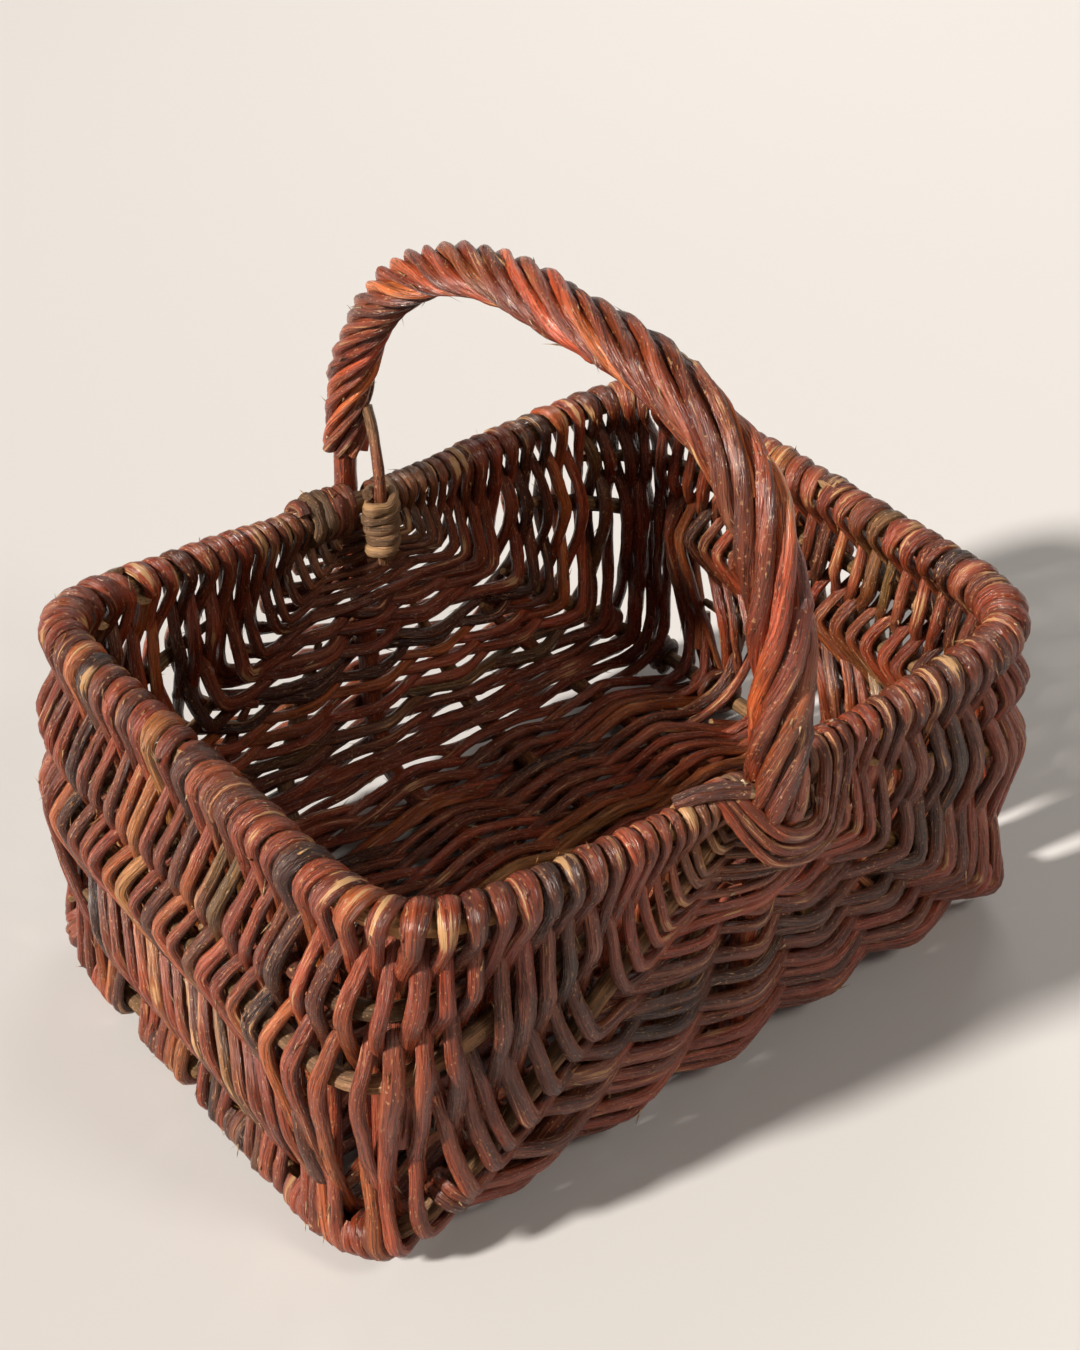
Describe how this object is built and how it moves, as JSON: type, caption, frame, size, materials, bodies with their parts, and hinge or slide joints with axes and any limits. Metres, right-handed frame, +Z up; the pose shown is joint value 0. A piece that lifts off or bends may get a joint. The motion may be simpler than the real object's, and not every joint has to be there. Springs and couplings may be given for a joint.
{
  "type": "gathering basket",
  "caption": "Rectangular ribbed willow basket with a saddle-shaped rim and a fixed arched handle wrapped in twisted rods.",
  "frame": {"origin": "on the surface that the basket stands on, under the middle of its box", "axes": "+X along the basket, +Y across it from the near handle foot to the far one, +Z up"},
  "size_m": [0.4606, 0.3706, 0.395],
  "materials": {
    "peeled_rod": "bare pale willow rod, dry and matt",
    "bark_rod": "unpeeled red-brown willow bark, satin",
    "handle_rod": "unpeeled red-brown willow bark, polished by handling",
    "split_binding": "weathered grey-brown split willow, dry"
  },
  "bodies": {
    "root": {"rim_rod": "peeled_rod", "handle_hoop": "peeled_rod", "left_upper_rib": "peeled_rod", "left_middle_rib": "peeled_rod", "left_lower_rib": "peeled_rod", "left_corner_rib": "peeled_rod", "left_outer_base_rib": "peeled_rod", "left_inner_base_rib": "peeled_rod", "right_upper_rib": "peeled_rod", "right_middle_rib": "peeled_rod", "right_lower_rib": "peeled_rod", "right_corner_rib": "peeled_rod", "right_outer_base_rib": "peeled_rod", "right_inner_base_rib": "peeled_rod", "near_weaver_01": "bark_rod", "near_weaver_02": "bark_rod", "near_weaver_03": "bark_rod", "near_weaver_04": "bark_rod", "near_weaver_05": "bark_rod", "near_weaver_06": "bark_rod", "near_weaver_07": "bark_rod", "near_weaver_08": "bark_rod", "near_weaver_09": "bark_rod", "near_weaver_10": "bark_rod", "near_weaver_11": "bark_rod", "near_weaver_12": "bark_rod", "near_weaver_13": "bark_rod", "near_weaver_14": "bark_rod", "near_weaver_15": "bark_rod", "far_weaver_01": "bark_rod", "far_weaver_02": "bark_rod", "far_weaver_03": "bark_rod", "far_weaver_04": "bark_rod", "far_weaver_05": "bark_rod", "far_weaver_06": "bark_rod", "far_weaver_07": "bark_rod", "far_weaver_08": "bark_rod", "far_weaver_09": "bark_rod", "far_weaver_10": "bark_rod", "far_weaver_11": "bark_rod", "far_weaver_12": "bark_rod", "far_weaver_13": "bark_rod", "far_weaver_14": "bark_rod", "far_weaver_15": "bark_rod", "handle_strand_1": "handle_rod", "handle_strand_2": "handle_rod", "handle_strand_3": "handle_rod", "handle_strand_4": "handle_rod", "handle_strand_5": "handle_rod", "handle_strand_6": "handle_rod", "far_handle_tail": "handle_rod", "near_left_binding": "split_binding", "near_right_binding": "split_binding", "far_left_binding": "split_binding", "far_right_binding": "split_binding", "far_tail_binding": "split_binding"}
  },
  "joints": []
}
